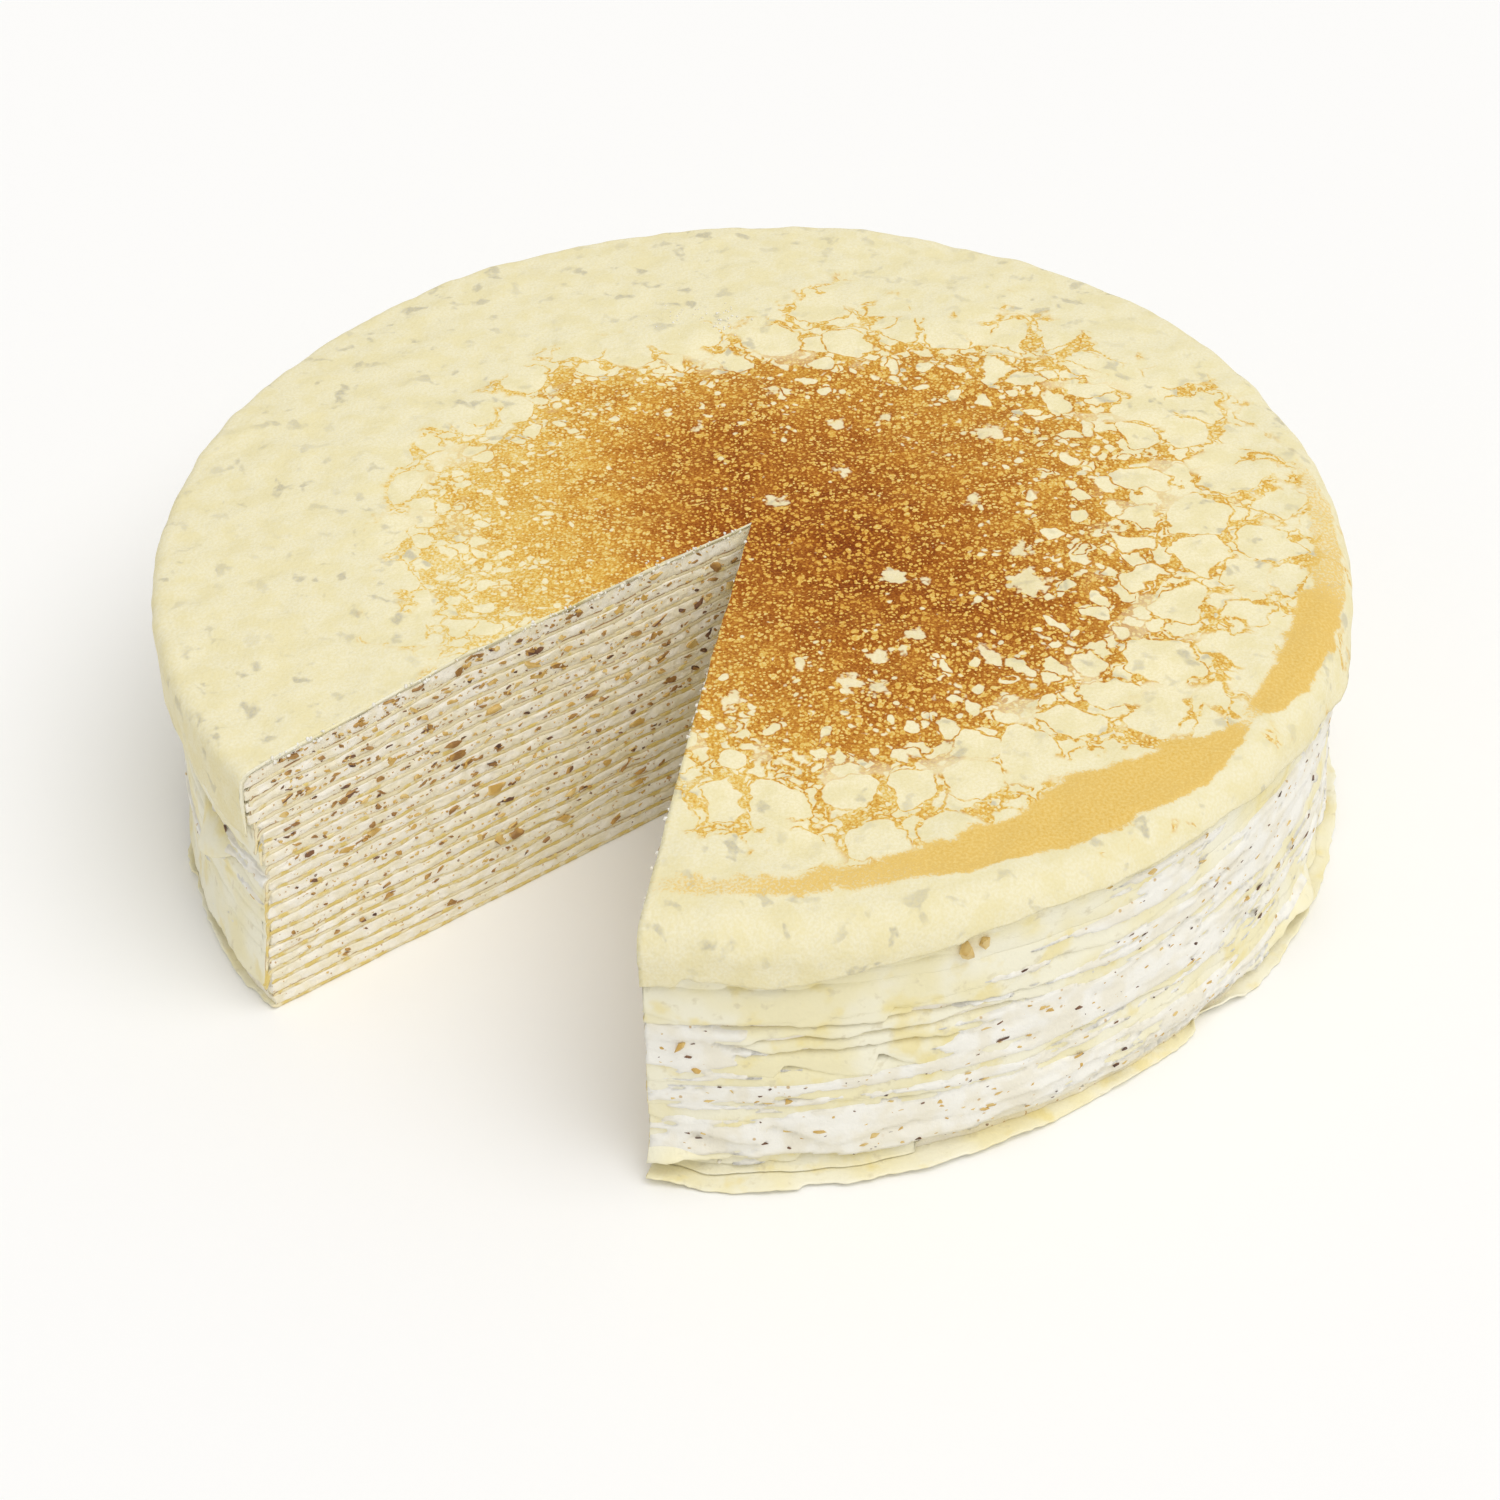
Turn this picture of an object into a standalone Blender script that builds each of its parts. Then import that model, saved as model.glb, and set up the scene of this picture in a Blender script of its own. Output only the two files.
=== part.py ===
"""A round crepe cake with one slice taken out: twenty crepes with nutty cream between them.

Every crepe and every layer of cream is a closed solid of its own. The layer's outline is turned
about the cake's axis, from one cut face to the other. Its points are then lowered where the cake
is domed, and its edge is made uneven. The top crepe is draped over the shoulder and hangs down
the side, and the bottom crepe spreads out over the board in shallow waves.
"""

import math
import random

import bmesh
import bpy

# Sizes are in metres, angles in degrees counter-clockwise from +X. The origin is on the board,
# under the middle of the cake.
RADIUS = 0.115
HEIGHT = 0.0612
CUT_FROM = 259.3
CUT_TO = 216.3 + 360.0
CREPE_COUNT = 20
CREPE = 0.00095
TOP_CREAM = 0.0034
CREAM_UNEVEN = 0.12
GAP = 0.0003

# The dome: how far the top drops at the full radius, and the share of the height that stays flat.
DOME_DROP = 0.0036
DOME_POWER = 4
FLAT_SHARE = 0.45

# The edges of the stacked layers, measured inwards from the full radius.
EDGE_INSET = 0.0012
BASE_INSET = 0.0032
EDGE_UNEVEN = 0.0013
EDGE_WIDTH = 0.0022
EDGE_DROOP = 0.0015
CREAM_INSET = 0.0024
CREAM_EDGE_UNEVEN = 0.0008

# The top crepe's bend over the shoulder and the skirt below it.
SHOULDER = 0.0075
SHOULDER_STEPS = 3
SKIRT = 0.0113
SKIRT_LONGER = 0.0027
LONGEST_AT = 215.0
SKIRT_UNEVEN = 0.0016
SKIRT_FLARE = 0.0006

# The bottom crepe's waves over the board.
BASE_REACH = 0.1150
BASE_WAVES = 5
BASE_WAVE = 0.0024
BASE_WAVE_AT = 272.0
BASE_SHIFT = 0.0012
BASE_SHIFT_AT = 290.0
BASE_LIFT = 0.0005

# Flaps that stick out of the side: crepe number, angle, half width in degrees, reach.
SKIRT_FLAP = (CREPE_COUNT, 341.0, 9.0, 0.0034)
FLAPS = (SKIRT_FLAP, (4, 334.0, 8.0, 0.0046), (11, 206.0, 7.0, 0.0034))

STEPS = 24
FINE_STEPS = 48
WELD = 1e-6

MATERIALS = {
    "crepe": ((0.82, 0.70, 0.40), 0.62),
    "browned_crepe": ((0.76, 0.56, 0.25), 0.55),
    "nutty_cream": ((0.78, 0.68, 0.50), 0.50),
}


def clear_scene():
    for old in list(bpy.data.objects):
        bpy.data.objects.remove(old, do_unlink=True)


def new_material(name):
    colour, roughness = MATERIALS[name]
    material = bpy.data.materials.new(name)
    material.use_nodes = True
    shader = material.node_tree.nodes["Principled BSDF"]
    shader.inputs["Base Color"].default_value = (*colour, 1.0)
    shader.inputs["Roughness"].default_value = roughness
    shader.inputs["Metallic"].default_value = 0.0
    return material


def uneven(seed):
    """A smooth, closed curve over the whole turn, between -1 and 1."""
    source = random.Random(seed)
    waves = [(count, source.uniform(0.4, 1.0), source.uniform(0.0, math.tau)) for count in range(2, 9)]
    total = sum(size for _, size, _ in waves)
    return lambda angle: 1.6 * sum(
        size * math.sin(count * math.radians(angle) + phase) for count, size, phase in waves
    ) / total


def bump(angle, centre, half_width):
    """1 at the centre, falling smoothly to 0 at half_width on either side."""
    away = abs((angle - centre + 180.0) % 360.0 - 180.0) / half_width
    return math.cos(away * math.pi / 2.0) ** 2 if away < 1.0 else 0.0


def flap_reach(number, angle):
    return sum(reach * bump(angle, centre, width) for crepe, centre, width, reach in FLAPS if crepe == number)


def interfaces():
    """Heights on the axis where one layer ends and the next begins, from the board to the top."""
    source = random.Random(4)
    shares = [1.0 + source.uniform(-CREAM_UNEVEN, CREAM_UNEVEN) for _ in range(CREPE_COUNT - 2)]
    cream = HEIGHT - CREPE_COUNT * CREPE - TOP_CREAM
    creams = [cream * share / sum(shares) for share in shares] + [TOP_CREAM]
    heights = [0.0, CREPE]
    for thickness in creams:
        heights.append(heights[-1] + thickness)
        heights.append(heights[-1] + CREPE)
    return heights


def domed(radius, height):
    """Where a point of the flat stack comes to lie once the top is domed."""
    share = max(0.0, (height / HEIGHT - FLAT_SHARE) / (1.0 - FLAT_SHARE))
    return height - DOME_DROP * (radius / RADIUS) ** DOME_POWER * share**2


def room(height):
    """The largest radius that clears the inside of the top crepe, at this height of the flat stack."""
    skin = CREPE - GAP / 2
    inner = SHOULDER - skin - GAP
    rise = height - (HEIGHT - SHOULDER)
    if rise <= 0.0:
        return RADIUS - skin - GAP
    return RADIUS - SHOULDER + math.sqrt(max(0.0, inner**2 - rise**2))


def edge_radius(height):
    """How far the stacked crepes reach at this height: a little less towards the board."""
    inset = BASE_INSET + (EDGE_INSET - BASE_INSET) * height / HEIGHT
    return min(RADIUS - inset, room(height))


def stations(height):
    """Radii at which a layer bends with the dome. The flat layers need none."""
    if height > 0.86 * HEIGHT:
        return [0.50 * RADIUS, 0.80 * RADIUS]
    if height > 0.55 * HEIGHT:
        return [0.70 * RADIUS]
    return []


def turned(name, outline, steps, place, material):
    """The outline's points are (radius, height, share), where share says how much the point takes
    of the edge's unevenness. place() moves each turned point to its radius and height."""
    bm = bmesh.new()
    share_layer = bm.verts.layers.float.new("share")
    corners = []
    for radius, height, share in outline:
        corner = bm.verts.new((radius, 0.0, height))
        corner[share_layer] = share
        corners.append(corner)
    face = bm.faces.new(corners)
    sweep = math.radians(CUT_TO - CUT_FROM)
    bmesh.ops.spin(bm, geom=[face, *face.edges, *face.verts], axis=(0, 0, 1), angle=sweep, steps=steps)
    bmesh.ops.remove_doubles(bm, verts=bm.verts, dist=WELD)
    for vert in bm.verts:
        radius = math.hypot(vert.co.x, vert.co.y)
        turn = math.degrees(math.atan2(vert.co.y, vert.co.x)) if radius > WELD else 0.0
        angle = CUT_FROM + (turn if turn > -WELD else turn + 360.0)
        radius, height = place(radius, angle, vert.co.z, vert[share_layer])
        vert.co.x = radius * math.cos(math.radians(angle))
        vert.co.y = radius * math.sin(math.radians(angle))
        vert.co.z = height
    bmesh.ops.recalc_face_normals(bm, faces=bm.faces)
    if bm.calc_volume(signed=True) < 0.0:
        bmesh.ops.reverse_faces(bm, faces=bm.faces)
    mesh = bpy.data.meshes.new(name)
    bm.to_mesh(mesh)
    bm.free()
    mesh.shade_smooth()
    mesh.set_sharp_from_angle(angle=math.radians(35.0))
    mesh.materials.append(material)
    node = bpy.data.objects.new(name, mesh)
    bpy.data.collections["crepe_cake"].objects.link(node)
    return node


def cream_layer(number, low, high, material):
    """Cream fills up to a little behind the edge of the crepe that it carries."""
    low, high = low + GAP / 2, high - GAP / 2
    bends = stations(high)
    low_edge = min(edge_radius(low) - CREAM_INSET, room(low))
    high_edge = min(edge_radius(high) - CREAM_INSET, room(high))
    outline = [(0.0, low, 0.0)]
    outline += [(radius, low, 0.0) for radius in bends]
    outline += [(low_edge, low, 1.0), (high_edge, high, 1.0)]
    outline += [(radius, high, 0.0) for radius in reversed(bends)]
    outline += [(0.0, high, 0.0)]
    wobble = uneven(100 + number)

    def place(radius, angle, height, share):
        radius -= share * CREAM_EDGE_UNEVEN * (0.5 + 0.5 * wobble(angle))
        return radius, domed(radius, height)

    return turned(f"cream_{number:02d}", outline, STEPS, place, material)


def stacked_crepe(number, low, high, material):
    """A crepe between two layers of cream. Its edge reaches past the cream and droops."""
    low, high = low + GAP / 2, high - GAP / 2
    bends = stations(high)
    edge = edge_radius(high)
    inner = edge - EDGE_WIDTH
    outline = [(0.0, low, 0.0)]
    outline += [(radius, low, 0.0) for radius in bends]
    outline += [(inner, low, 0.0), (edge, low, 1.0), (edge, high, 1.0), (inner, high, 0.0)]
    outline += [(radius, high, 0.0) for radius in reversed(bends)]
    outline += [(0.0, high, 0.0)]
    wobble = uneven(200 + number)
    sag = uneven(300 + number)
    has_flap = any(crepe == number for crepe, *_ in FLAPS)

    def place(radius, angle, height, share):
        reach = flap_reach(number, angle) - EDGE_UNEVEN * (0.5 + 0.5 * wobble(angle))
        droop = share * EDGE_DROOP * (0.8 + 0.3 * sag(angle))
        radius += share * reach
        return radius, domed(radius, height) - droop

    return turned(f"crepe_{number:02d}", outline, FINE_STEPS if has_flap else STEPS, place, material)


def bottom_crepe(low, high, material):
    """The crepe on the board: flat under the cake, wavy where it comes out."""
    high -= GAP / 2
    inner = edge_radius(high) - EDGE_WIDTH
    outline = [
        (0.0, low, 0.0),
        (inner, low, 0.0),
        (BASE_REACH, low, 1.0),
        (BASE_REACH, high, 1.0),
        (inner, high, 0.0),
        (0.0, high, 0.0),
    ]
    wobble = uneven(401)

    def place(radius, angle, height, share):
        waves = BASE_WAVE * math.cos(BASE_WAVES * math.radians(angle - BASE_WAVE_AT))
        shift = BASE_SHIFT * math.cos(math.radians(angle - BASE_SHIFT_AT))
        lift = BASE_LIFT * (0.5 + 0.5 * wobble(angle))
        return radius + share * (waves + shift), height + share * lift

    return turned("crepe_01", outline, FINE_STEPS, place, material)


def top_crepe(low, high, material):
    """The crepe over the top: flat in the middle, bent over the shoulder, hanging as a skirt."""
    skin = high - low - GAP / 2
    bends = [0.50 * RADIUS, 0.80 * RADIUS, 0.90 * RADIUS]
    centre_radius = RADIUS - SHOULDER
    centre_height = high - SHOULDER
    turns = [math.pi / 2 * (1.0 - step / SHOULDER_STEPS) for step in range(SHOULDER_STEPS + 1)]

    def bent(size):
        return [
            (centre_radius + size * math.cos(turn), centre_height + size * math.sin(turn), 0.0)
            for turn in turns
        ]

    outside = [(0.0, high, 0.0)] + [(radius, high, 0.0) for radius in bends] + bent(SHOULDER)
    inside = [(0.0, high - skin, 0.0)] + [(radius, high - skin, 0.0) for radius in bends]
    inside += bent(SHOULDER - skin)
    hem = high - SKIRT
    outline = outside + [(RADIUS, hem, 1.0), (RADIUS - skin, hem, 1.0)] + inside[::-1]
    wobble = uneven(501)
    flare = uneven(502)

    def place(radius, angle, height, share):
        longer = SKIRT_LONGER * math.cos(math.radians(angle - LONGEST_AT)) + SKIRT_UNEVEN * wobble(angle)
        out = SKIRT_FLARE * (1.0 + flare(angle)) + flap_reach(CREPE_COUNT, angle)
        return radius + share * out, domed(radius, height) - share * longer

    return turned(f"crepe_{CREPE_COUNT:02d}", outline, FINE_STEPS, place, material)


def build():
    clear_scene()
    collection = bpy.data.collections.new("crepe_cake")
    bpy.context.scene.collection.children.link(collection)
    crepe = new_material("crepe")
    browned = new_material("browned_crepe")
    cream = new_material("nutty_cream")
    heights = interfaces()
    bottom_crepe(heights[0], heights[1], crepe)
    for number in range(1, CREPE_COUNT):
        cream_low, cream_high, crepe_high = heights[2 * number - 1 : 2 * number + 2]
        cream_layer(number, cream_low, cream_high, cream)
        if number + 1 < CREPE_COUNT:
            stacked_crepe(number + 1, cream_high, crepe_high, crepe)
    top_crepe(heights[-2], heights[-1], browned)


build()
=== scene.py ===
import math
import random
from functools import partial

import bmesh
import bpy
from mathutils import Matrix, Vector, noise


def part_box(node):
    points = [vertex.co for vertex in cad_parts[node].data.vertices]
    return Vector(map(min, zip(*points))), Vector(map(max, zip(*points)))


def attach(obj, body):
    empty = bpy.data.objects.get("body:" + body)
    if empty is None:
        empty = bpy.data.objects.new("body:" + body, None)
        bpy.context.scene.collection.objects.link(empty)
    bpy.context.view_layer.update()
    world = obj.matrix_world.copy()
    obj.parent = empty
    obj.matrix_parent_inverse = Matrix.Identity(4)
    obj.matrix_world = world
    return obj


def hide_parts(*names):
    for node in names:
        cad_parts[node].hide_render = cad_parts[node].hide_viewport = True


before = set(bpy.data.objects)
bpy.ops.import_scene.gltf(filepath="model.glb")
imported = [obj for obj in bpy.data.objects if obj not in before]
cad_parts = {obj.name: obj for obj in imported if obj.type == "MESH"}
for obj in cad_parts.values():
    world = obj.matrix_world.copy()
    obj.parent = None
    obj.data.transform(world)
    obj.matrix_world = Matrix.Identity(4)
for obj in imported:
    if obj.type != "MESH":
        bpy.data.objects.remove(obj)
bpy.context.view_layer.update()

# A crepe cake is rebuilt here layer by layer: every crepe and every layer of nutty cream takes the
# place of its solid in the frame, with the relief, the drooping edges and the finish of the food.
# Lengths are in metres and angles in degrees, counter-clockwise from +X, unless a name says mm.

MM = 0.001
CREPES = 20
TOP = f"crepe_{CREPES:02d}"
CREPE = 0.95 * MM
GAP = 0.3 * MM
RADIUS = 115.0 * MM
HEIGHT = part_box(TOP)[1].z

# The cake fills the turn between its two cut faces. The missing slice opens towards the camera.
CUT_FROM = 259.3
CUT_TO = 216.3 + 360.0
CUT_AT = {"first cut": CUT_FROM, "second cut": CUT_TO}

# The dome of the stack, as its solids have it.
DOME_DROP = 3.6 * MM
DOME_POWER = 4
FLAT_SHARE = 0.45

# How finely the visible edges are divided.
CUT_STEP = 0.42 * MM
RIM_STEP = 0.95 * MM
# Corners closer together than this become one.
WELD = 0.002 * MM


# ------ small helpers

def lerp(a, b, share):
    return a + (b - a) * share


def clamp(value, low=0.0, high=1.0):
    return max(low, min(high, value))


def smooth(low, high, value):
    share = clamp((value - low) / (high - low))
    return share * share * (3.0 - 2.0 * share)


def rough(x, y, z=0.0):
    """Smooth noise, about -1 to 1, one bump to each unit."""
    return noise.noise(Vector((x, y, z)))


def polar(radius, angle):
    turn = math.radians(angle)
    return radius * math.cos(turn), radius * math.sin(turn)


def polar_point(radius, angle, height=0.0):
    return Vector(polar(radius, angle) + (height,))


def node_of(kind, number):
    return f"{kind}_{number:02d}"


# ------ heights of the layers

def layer_heights():
    """Bottom and top of every crepe on the cake's axis, read from the solids of the frame."""
    heights = {1: (0.0, CREPE)}
    for number in range(2, CREPES):
        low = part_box(node_of("cream", number - 1))[1].z + GAP / 2
        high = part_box(node_of("crepe", number))[1].z + GAP / 2
        heights[number] = (low, high)
    heights[CREPES] = (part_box(node_of("cream", CREPES - 1))[1].z + GAP / 2, HEIGHT)
    return heights


LEVELS = layer_heights()


def domed(radius, height):
    share = max(0.0, (height / HEIGHT - FLAT_SHARE) / (1.0 - FLAT_SHARE))
    return height - DOME_DROP * (radius / RADIUS) ** DOME_POWER * share**2


def lay(number, x, y):
    """How far a crepe lies above or below its even height, over lumps of cream and nuts."""
    settle = clamp((number - 1) / 3.0)
    broad = rough(x / (26 * MM), y / (26 * MM), number * 0.13)
    lumps = rough(x / (8 * MM), y / (8 * MM), number * 0.55 + 40.0)
    small = rough(x / (3 * MM), y / (3 * MM), number * 3.1 + 90.0)
    return settle * (0.85 * broad + 0.55 * lumps + 0.20 * small) * MM


def crepe_height(number, x, y, side):
    """Height of a crepe's underside (side -1) or upper side (side 1) inside the stack."""
    low, high = LEVELS[number]
    radius = math.hypot(x, y)
    thin = 1.0 + 0.35 * rough(x / (6 * MM), y / (6 * MM), number * 5.7)
    half = 0.5 * (high - low) * thin
    if number == 1:
        return domed(radius, low if side < 0 else high)
    return domed(radius, 0.5 * (low + high)) + lay(number, x, y) + side * half


# ------ the side of the cake

# The top crepe rolls over the rim softly in front and on the right, and more sharply elsewhere.
SOFT_SHOULDER = 7.5 * MM
SHARP_SHOULDER = 3.0 * MM
SOFT_AT = 310.0
SKIN = CREPE - GAP / 2
BEND = 1.3 * MM
FLAT_BASE = 3

# Where the crepes bend over the side: how far inside the rim, and how much further in at the foot.
SET_BACK = 3.6 * MM
TAPER = 1.2 * MM

# How far the bottom crepes spread over the table, in waves. From the lowest crepe up: how many mm it
# ends behind the lowest, and how steeply its edge hangs.
BASE_REACH = 114.4 * MM
BASE_BACK = (0.0, 5.4, 7.0)
BASE_TILTS = (0.0, 72.0, 80.0)
BASE_WAVE = 2.4 * MM
BASE_WAVES = 5
BASE_WAVE_AT = 272.0
BASE_SHIFT = 1.2 * MM
BASE_SHIFT_AT = 290.0
# Where they spread less, and where the foot of the stack is pressed outwards: angle, half width,
# how far. The foot is pressed out fully at the lower of two heights, and not at all at the upper.
DRAWN_IN = ((200.0, 36.0, 1.8 * MM), (343.0, 22.0, 2.0 * MM))
SQUASHED = (214.0, 24.0, 2.6 * MM)
SQUASHED_BELOW = (30 * MM, 7 * MM)

# The skirt of the top crepe: how far it hangs below the top, where it is longest, where it is drawn
# up, and how far it may end above the foot of its roll.
SKIRT = 11.3 * MM
SKIRT_LONGER = 2.7 * MM
LONGEST_AT = 215.0
SKIRT_LIFTED = (301.0, 42.0, 6.4 * MM)
LEAST_SKIRT = -3.2 * MM

# Flaps that stick out of the side: crepe, angle, half width in degrees. The skirt has one as well.
FLAPS = ((4, 334.0, 8.0), (4, 261.0, 5.0), (11, 206.0, 7.0))
SKIRT_FLAP = (341.0, 9.0)

# How many angles of an edge are worked out in each degree.
ANGLES_KEPT = 50


def bump(angle, centre, half_width):
    away = abs((angle - centre + 180.0) % 360.0 - 180.0) / half_width
    return math.cos(away * math.pi / 2.0) ** 2 if away < 1.0 else 0.0


def around(angle):
    """Length along the rim, in metres, from the direction of +X."""
    return math.radians(angle) * RADIUS


def shoulder(angle):
    """Radius of the roll of the top crepe over the rim."""
    soft = smooth(-0.1, 0.6, math.cos(math.radians(angle - SOFT_AT)))
    uneven = 0.4 * MM * rough(around(angle) / (22 * MM), 17.0)
    return lerp(SHARP_SHOULDER, SOFT_SHOULDER, soft) + uneven


def room(angle, height):
    """The largest radius that stays inside the top crepe at this height of the flat stack."""
    roll = shoulder(angle)
    inner = roll - SKIN - 0.1 * MM
    rise = height - (HEIGHT - roll)
    if rise <= 0.0:
        return RADIUS - SKIN - 0.1 * MM
    return RADIUS - roll + math.sqrt(max(0.0, inner**2 - rise**2))


def side_radius(angle, height):
    """Where the crepes start to bend over the side."""
    taper = TAPER * (1.0 - height / HEIGHT)
    drift = 0.5 * MM * rough(around(angle) / (34 * MM), height / (15 * MM), 7.0)
    centre, width, out = SQUASHED
    squashed = out * bump(angle, centre, width) * smooth(*SQUASHED_BELOW, height)
    return RADIUS - SET_BACK - taper + drift + squashed


def base_reach(angle):
    waves = BASE_WAVE * math.cos(BASE_WAVES * math.radians(angle - BASE_WAVE_AT))
    shift = BASE_SHIFT * math.cos(math.radians(angle - BASE_SHIFT_AT))
    shift -= sum(depth * bump(angle, centre, width) for centre, width, depth in DRAWN_IN)
    return BASE_REACH + waves + shift + 0.6 * MM * rough(around(angle) / (7 * MM), 3.0)


def tear_list(number):
    """Places where a crepe's edge is torn or folded back: angle, depth, and width on either side."""
    source = random.Random(700 + number)
    tears = []
    for _ in range(source.randint(5, 9)):
        tears.append(
            (
                source.uniform(CUT_FROM, CUT_TO),
                source.uniform(1.5, 5.5) * MM,
                source.uniform(1.2, 3.0) * MM,
                source.uniform(8.0, 26.0) * MM,
            )
        )
    return tears


def torn(tears, angle):
    """How much of the edge is missing: it breaks off sharply on one side and grows back slowly."""
    missing = 0.0
    for at, depth, sharp, slow in tears:
        away = around(angle - at)
        if 0.0 <= away < slow:
            missing = max(missing, depth * (1.0 - away / slow) ** 1.5)
        elif -sharp < away < 0.0:
            missing = max(missing, depth * smooth(-sharp, 0.0, away))
    return missing


class Overhang:
    """The part of one crepe that hangs over the side. Angles are looked up once and kept."""

    def __init__(self, number):
        self.number = number
        self.middle = 0.5 * sum(LEVELS[number])
        source = random.Random(500 + number)
        self.length = source.uniform(2.5, 9.5) * MM
        self.tears = tear_list(number)
        self.kept = {}

    def at(self, angle):
        """(radius where it bends, length past the bend, tilt in radians, lift of its edge)"""
        key = round(clamp(angle, CUT_FROM, CUT_TO) * ANGLES_KEPT)
        if key not in self.kept:
            self.kept[key] = self.work_out(key / ANGLES_KEPT)
        return self.kept[key]

    def work_out(self, angle):
        number, along = self.number, around(angle)
        if number == CREPES:
            return self.skirt(angle, along)
        bend = min(side_radius(angle, self.middle), room(angle, self.middle) - 1.6 * MM)
        ragged = 0.45 * rough(along / (2.2 * MM), number * 3.3)
        ragged += 0.22 * rough(along / (0.9 * MM), number * 8.1)
        if number <= FLAT_BASE:
            tilt = math.radians(BASE_TILTS[number - 1])
            fold = 2.6 * rough(along / (26 * MM), number * 5.0) + 1.0 * rough(along / (8 * MM), number * 7.0)
            folded = 0.25 if number == 1 else 1.0
            reach = base_reach(angle) - BASE_BACK[number - 1] * MM + fold * MM * folded
            reach -= 0.5 * torn(self.tears, angle)
            length = max(1.0 * MM, (reach - bend) / math.cos(tilt) + ragged * MM)
            lift = 1.9 * MM * smooth(-0.15, 0.5, rough(along / (17 * MM), number * 2.9))
            return bend, length, tilt, lift
        swing = 4.2 * rough(along / (40 * MM), number * 9.7) + 1.6 * rough(along / (12 * MM), number * 4.1)
        length = self.length + (swing + ragged) * MM - torn(self.tears, angle)
        steep = 85.0 - 16.0 * smooth(8.0, 3.0, number) + 3.0 * rough(along / (20 * MM), number * 1.9)
        lowest = self.middle - 2.2 * MM
        length = clamp(length, 0.7 * MM, max(0.8 * MM, lowest))
        if number > CREPES - 4:
            length = min(length, 5.0 * MM)
            steep = 88.0
        for crepe, centre, width in FLAPS:
            if crepe == number:
                part = bump(angle, centre, width)
                steep -= 38.0 * part
                length = max(length, 7.5 * MM * part)
        return bend, length, math.radians(steep), 0.0

    def skirt(self, angle, along):
        centre, width, lift = SKIRT_LIFTED
        longer = SKIRT_LONGER * math.cos(math.radians(angle - LONGEST_AT)) - lift * bump(angle, centre, width)
        longer += (1.6 * rough(along / (30 * MM), 11.0) + 0.8 * rough(along / (9 * MM), 12.0)) * MM
        longer += (0.4 * rough(along / (2.5 * MM), 13.0) + 0.2 * rough(along / (1.0 * MM), 14.0)) * MM
        hang = SKIRT + longer - 0.9 * torn(self.tears, angle) - shoulder(angle)
        quarter = (shoulder(angle) - CREPE / 2) * math.pi / 2
        tilt = math.radians(89.0 - 26.0 * bump(angle, *SKIRT_FLAP))
        return RADIUS - shoulder(angle), quarter + max(LEAST_SKIRT, hang), tilt, 0.0


OVERHANGS = {number: Overhang(number) for number in range(1, CREPES + 1)}


def floor_under(number):
    """The lowest that a crepe may reach: on the table, or on the crepes spread out under it."""
    return (0.0, 0.0, 1.2, 2.3, 3.1)[min(number, 4)] * MM


def crepe_point(number, along, angle, side):
    """A point of a crepe: how far along it from the axis, at what angle, and on which of its sides."""
    bend, length, tilt, lift = OVERHANGS[number].at(angle)
    curve = (shoulder(angle) - CREPE / 2) if number == CREPES else BEND
    lie = min(along, bend)
    x, y = polar(lie, angle)
    top, bottom = crepe_height(number, x, y, 1), crepe_height(number, x, y, -1)
    middle, half = 0.5 * (top + bottom), 0.5 * (top - bottom)
    past = max(0.0, along - bend)
    turned = min(past / curve, tilt)
    straight = past - turned * curve
    out = curve * math.sin(turned) + straight * math.cos(turned)
    down = curve * (1.0 - math.cos(turned)) + straight * math.sin(turned)
    if past > 0.0:
        share = past / length
        rim, level = around(angle), middle - down
        half *= 1.0 - 0.5 * smooth(0.3, 1.0, share)
        ripple = 0.34 * rough(rim / (11 * MM), level / (7 * MM), 61.0)
        ripple += 0.22 * rough(rim / (5 * MM), level / (3.5 * MM), 63.0 + number)
        out += ripple * MM * smooth(0.0, 0.25, share)
        down -= lift * smooth(0.2, 1.0, share)
    radius = lie + out + side * half * math.sin(turned)
    height = middle - down + side * half * math.cos(turned)
    return radius, max(height, floor_under(number) + 0.5 * (1 + side) * half)


# ------ layers as slabs

CUT_COLUMNS = round(RADIUS / CUT_STEP)
RIM_COLUMNS = round(math.radians(CUT_TO - CUT_FROM) * RADIUS / RIM_STEP)
COLUMNS = 2 * CUT_COLUMNS + RIM_COLUMNS


def outline_place(column):
    """Which stretch of the outline a column stands on, and how far along it: 0 to 1."""
    column %= COLUMNS
    if column < CUT_COLUMNS:
        return "first cut", column / CUT_COLUMNS
    column -= CUT_COLUMNS
    if column < RIM_COLUMNS:
        return "rim", column / RIM_COLUMNS
    return "second cut", 1.0 - (column - RIM_COLUMNS) / CUT_COLUMNS


# A point opposite the missing slice, from which all of a layer's outline can be seen.
HEART = polar(22 * MM, 0.5 * (CUT_FROM + CUT_TO))


# What a slab's corners say about its look: whether they lie on a cut face, how far up from the
# slab's underside, and how much its upper side is fried.
SLAB_LOOKS = ("cut", "across", "fried")


def grid(columns, rows):
    bm = bmesh.new()
    bmesh.ops.create_grid(bm, x_segments=columns, y_segments=rows, size=0.5)
    return bm


def corners(bm, columns):
    """The corners of a grid with this many columns: (column, row, corner)."""
    for index, vert in enumerate(bm.verts):
        yield index % (columns + 1), index // (columns + 1), vert


def weld(bm):
    """Makes one of the corners that meet, and shades the faces as one round surface."""
    bmesh.ops.remove_doubles(bm, verts=bm.verts, dist=WELD)
    for face in bm.faces:
        face.smooth = True


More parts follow.
